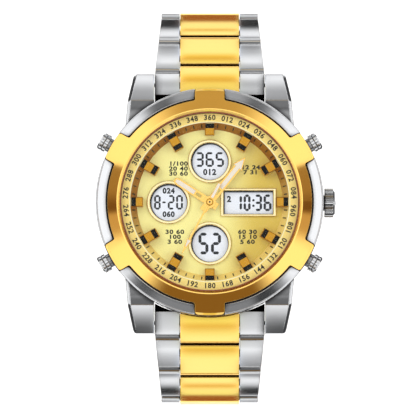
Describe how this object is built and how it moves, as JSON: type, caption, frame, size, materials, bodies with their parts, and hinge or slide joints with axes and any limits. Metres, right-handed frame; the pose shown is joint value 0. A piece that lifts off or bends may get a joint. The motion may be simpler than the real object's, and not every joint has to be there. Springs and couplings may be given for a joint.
{
  "type": "wristwatch",
  "caption": "Large round wristwatch with hands and digital displays, screw-back case, crown, side pushers and a closed two-colour link bracelet with a folding clasp.",
  "frame": {"origin": "centre of the case back's outer face", "axes": "+Z out of the dial, +Y to 12 o'clock, +X to 3 o'clock and the crown"},
  "size_m": [0.0521, 0.0862, 0.06],
  "materials": {
    "steel": "polished and brushed",
    "gold_plate": "polished gold-tone plating",
    "dial": "satin champagne",
    "glass": "clear",
    "gasket": "matte",
    "display": "pale grey",
    "black_plastic": "matte",
    "white_plastic": "matte"
  },
  "bodies": {
    "case": {"case_middle": "steel", "bezel": "gold_plate", "crystal": "glass", "crystal_gasket": "gasket", "flange_ring": "gold_plate", "dial_plate": "dial", "hour_markers": "gold_plate", "display_frames": "gold_plate", "display_panels": "display", "movement_module": "black_plastic", "movement_ring": "white_plastic", "battery": "steel", "case_tubes": "steel", "case_back": "steel", "back_gasket": "gasket", "back_screws": "steel", "spring_bars": "steel", "end_links": "steel", "end_link_centres": "gold_plate", "pusher_springs": "steel"},
    "hour_hand": {"hour_hand": "gold_plate"},
    "minute_hand": {"minute_hand": "gold_plate"},
    "second_hand": {"second_hand": "gold_plate"},
    "winding_stem": {"winding_stem": "steel"},
    "crown": {"crown": "steel"},
    "pusher_2": {"pusher_2": "steel"},
    "pusher_4": {"pusher_4": "steel"},
    "pusher_8": {"pusher_8": "steel"},
    "pusher_10": {"pusher_10": "steel"},
    "clasp_cover": {"clasp_cover": "steel"},
    "outer_blade": {"outer_blade": "steel"},
    "inner_blade": {"inner_blade": "steel"},
    "row_12_1": {"outer_links_12_1": "steel", "centre_link_12_1": "gold_plate"},
    "row_12_2": {"outer_links_12_2": "steel", "centre_link_12_2": "gold_plate"},
    "row_12_3": {"outer_links_12_3": "steel", "centre_link_12_3": "gold_plate"},
    "row_12_4": {"outer_links_12_4": "steel", "centre_link_12_4": "gold_plate"},
    "row_12_5": {"outer_links_12_5": "steel", "centre_link_12_5": "gold_plate"},
    "row_12_6": {"outer_links_12_6": "steel", "centre_link_12_6": "gold_plate"},
    "row_12_7": {"outer_links_12_7": "steel", "centre_link_12_7": "gold_plate"},
    "row_6_1": {"outer_links_6_1": "steel", "centre_link_6_1": "gold_plate"},
    "row_6_2": {"outer_links_6_2": "steel", "centre_link_6_2": "gold_plate"},
    "row_6_3": {"outer_links_6_3": "steel", "centre_link_6_3": "gold_plate"},
    "row_6_4": {"outer_links_6_4": "steel", "centre_link_6_4": "gold_plate"},
    "row_6_5": {"outer_links_6_5": "steel", "centre_link_6_5": "gold_plate"},
    "row_6_6": {"outer_links_6_6": "steel", "centre_link_6_6": "gold_plate"},
    "row_6_7": {"outer_links_6_7": "steel", "centre_link_6_7": "gold_plate"}
  },
  "joints": [
    {"name": "minute_hand_turn", "type": "hinge", "parent": "case", "child": "minute_hand", "pos_m": [0, 0, 0.0096], "axis": [0, 0, -1], "continuous": true},
    {"name": "hour_hand_turn", "type": "hinge", "parent": "case", "child": "hour_hand", "pos_m": [0, 0, 0.009], "axis": [0, 0, -1], "continuous": true},
    {"name": "second_hand_turn", "type": "hinge", "parent": "case", "child": "second_hand", "pos_m": [0, 0, 0.0102], "axis": [0, 0, -1], "continuous": true},
    {"name": "crown_pull", "type": "slide", "parent": "case", "child": "winding_stem", "axis": [1, 0, 0], "range_m": [0, 0.0012]},
    {"name": "crown_turn", "type": "hinge", "parent": "winding_stem", "child": "crown", "pos_m": [0.026, 0, 0.0058], "axis": [1, 0, 0], "continuous": true},
    {"name": "pusher_2_press", "type": "slide", "parent": "case", "child": "pusher_2", "axis": [-0.866, -0.5, 0], "range_m": [0, 0.00075], "stiffness_N_per_m": 1000, "deforming": ["pusher_springs"]},
    {"name": "pusher_4_press", "type": "slide", "parent": "case", "child": "pusher_4", "axis": [-0.866, 0.5, 0], "range_m": [0, 0.00075], "stiffness_N_per_m": 1000, "deforming": ["pusher_springs"]},
    {"name": "pusher_8_press", "type": "slide", "parent": "case", "child": "pusher_8", "axis": [0.866, 0.5, 0], "range_m": [0, 0.00075], "stiffness_N_per_m": 1000, "deforming": ["pusher_springs"]},
    {"name": "pusher_10_press", "type": "slide", "parent": "case", "child": "pusher_10", "axis": [0.866, -0.5, 0], "range_m": [0, 0.00075], "stiffness_N_per_m": 1000, "deforming": ["pusher_springs"]},
    {"name": "hinge_12_1", "type": "hinge", "parent": "case", "child": "row_12_1", "pos_m": [0, 0.02855, -0.001], "axis": [1, 0, 0], "range_deg": [0, 9]},
    {"name": "hinge_12_2", "type": "hinge", "parent": "row_12_1", "child": "row_12_2", "pos_m": [0, 0.0352, -0.00743], "axis": [1, 0, 0], "range_deg": [0, 13]},
    {"name": "hinge_12_3", "type": "hinge", "parent": "row_12_2", "child": "row_12_3", "pos_m": [0, 0.0409, -0.01471], "axis": [1, 0, 0], "range_deg": [0, 41]},
    {"name": "hinge_12_4", "type": "hinge", "parent": "row_12_3", "child": "row_12_4", "pos_m": [0, 0.04122, -0.02396], "axis": [1, 0, 0], "range_deg": [0, 29]},
    {"name": "hinge_12_5", "type": "hinge", "parent": "row_12_4", "child": "row_12_5", "pos_m": [0, 0.03776, -0.03254], "axis": [1, 0, 0], "range_deg": [0, 29]},
    {"name": "hinge_12_6", "type": "hinge", "parent": "row_12_5", "child": "row_12_6", "pos_m": [0, 0.0311, -0.03896], "axis": [1, 0, 0], "range_deg": [0, 25]},
    {"name": "hinge_12_7", "type": "hinge", "parent": "row_12_6", "child": "row_12_7", "pos_m": [0, 0.02265, -0.04272], "axis": [1, 0, 0], "range_deg": [0, 21]},
    {"name": "hinge_6_1", "type": "hinge", "parent": "case", "child": "row_6_1", "pos_m": [0, -0.02855, -0.001], "axis": [-1, 0, 0], "range_deg": [0, 9]},
    {"name": "hinge_6_2", "type": "hinge", "parent": "row_6_1", "child": "row_6_2", "pos_m": [0, -0.0352, -0.00743], "axis": [-1, 0, 0], "range_deg": [0, 13]},
    {"name": "hinge_6_3", "type": "hinge", "parent": "row_6_2", "child": "row_6_3", "pos_m": [0, -0.0409, -0.01471], "axis": [-1, 0, 0], "range_deg": [0, 41]},
    {"name": "hinge_6_4", "type": "hinge", "parent": "row_6_3", "child": "row_6_4", "pos_m": [0, -0.04122, -0.02396], "axis": [-1, 0, 0], "range_deg": [0, 29]},
    {"name": "hinge_6_5", "type": "hinge", "parent": "row_6_4", "child": "row_6_5", "pos_m": [0, -0.03776, -0.03254], "axis": [-1, 0, 0], "range_deg": [0, 29]},
    {"name": "hinge_6_6", "type": "hinge", "parent": "row_6_5", "child": "row_6_6", "pos_m": [0, -0.0311, -0.03896], "axis": [-1, 0, 0], "range_deg": [0, 25]},
    {"name": "hinge_6_7", "type": "hinge", "parent": "row_6_6", "child": "row_6_7", "pos_m": [0, -0.02265, -0.04272], "axis": [-1, 0, 0], "range_deg": [0, 21]},
    {"name": "clasp_to_bracelet", "type": "hinge", "parent": "row_12_7", "child": "clasp_cover", "pos_m": [0, 0.01349, -0.04401], "axis": [1, 0, 0], "range_deg": [0, 8]},
    {"name": "outer_blade_fold", "type": "hinge", "parent": "clasp_cover", "child": "outer_blade", "pos_m": [0, -0.01009, -0.04478], "axis": [1, 0, 0], "range_deg": [0, 90]},
    {"name": "inner_blade_fold", "type": "hinge", "parent": "outer_blade", "child": "inner_blade", "pos_m": [0, 0.01009, -0.04478], "axis": [-1, 0, 0], "range_deg": [0, 110]}
  ],
  "couplings": [
    {"joint": "hour_hand_turn", "follows": "minute_hand_turn", "ratio": 0.083333}
  ]
}
